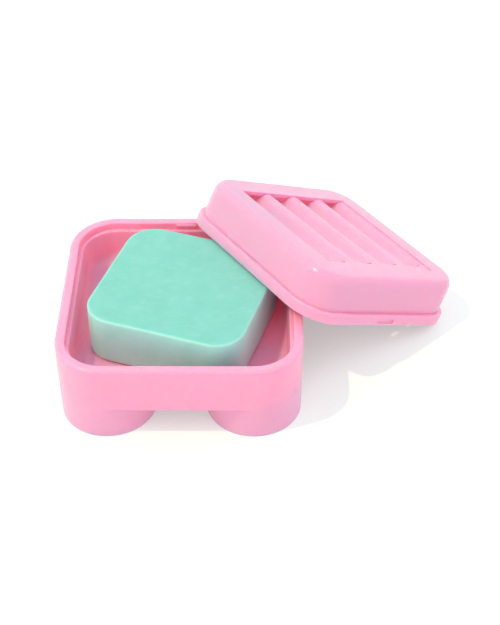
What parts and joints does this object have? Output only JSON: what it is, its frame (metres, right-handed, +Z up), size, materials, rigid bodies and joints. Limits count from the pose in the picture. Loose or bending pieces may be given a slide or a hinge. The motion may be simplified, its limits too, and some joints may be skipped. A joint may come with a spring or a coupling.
{
  "type": "soap box",
  "caption": "Square plastic soap box on round corner feet, with a bar of soap in its tray and its flanged draining lid taken off and leaning on the bar.",
  "frame": {"origin": "on the worktop, under the middle of the footprint of the whole set as it stands, box and leaning lid together", "axes": "+Z up; +X to the right along the box's front wall, +Y from the front wall to the back; the lid leans down towards +X and +Y"},
  "size_m": [0.15, 0.126, 0.0523],
  "materials": {
    "box": "satin moulded polypropylene, pale pink, slightly translucent",
    "lid": "satin moulded polypropylene, pale pink, slightly translucent",
    "soap": "smooth pressed mint green soap, dull"
  },
  "bodies": {
    "box": {"box": "box"},
    "soap": {"soap_bar": "soap"},
    "lid": {"lid": "lid"}
  },
  "joints": [
    {"name": "soap_lift", "type": "slide", "parent": "box", "child": "soap", "axis": [0, 0, 1], "range_m": [0, 0.04]},
    {"name": "lid_lift", "type": "slide", "parent": "soap", "child": "lid", "axis": [0, 0, 1], "range_m": [0, 0.06]}
  ]
}
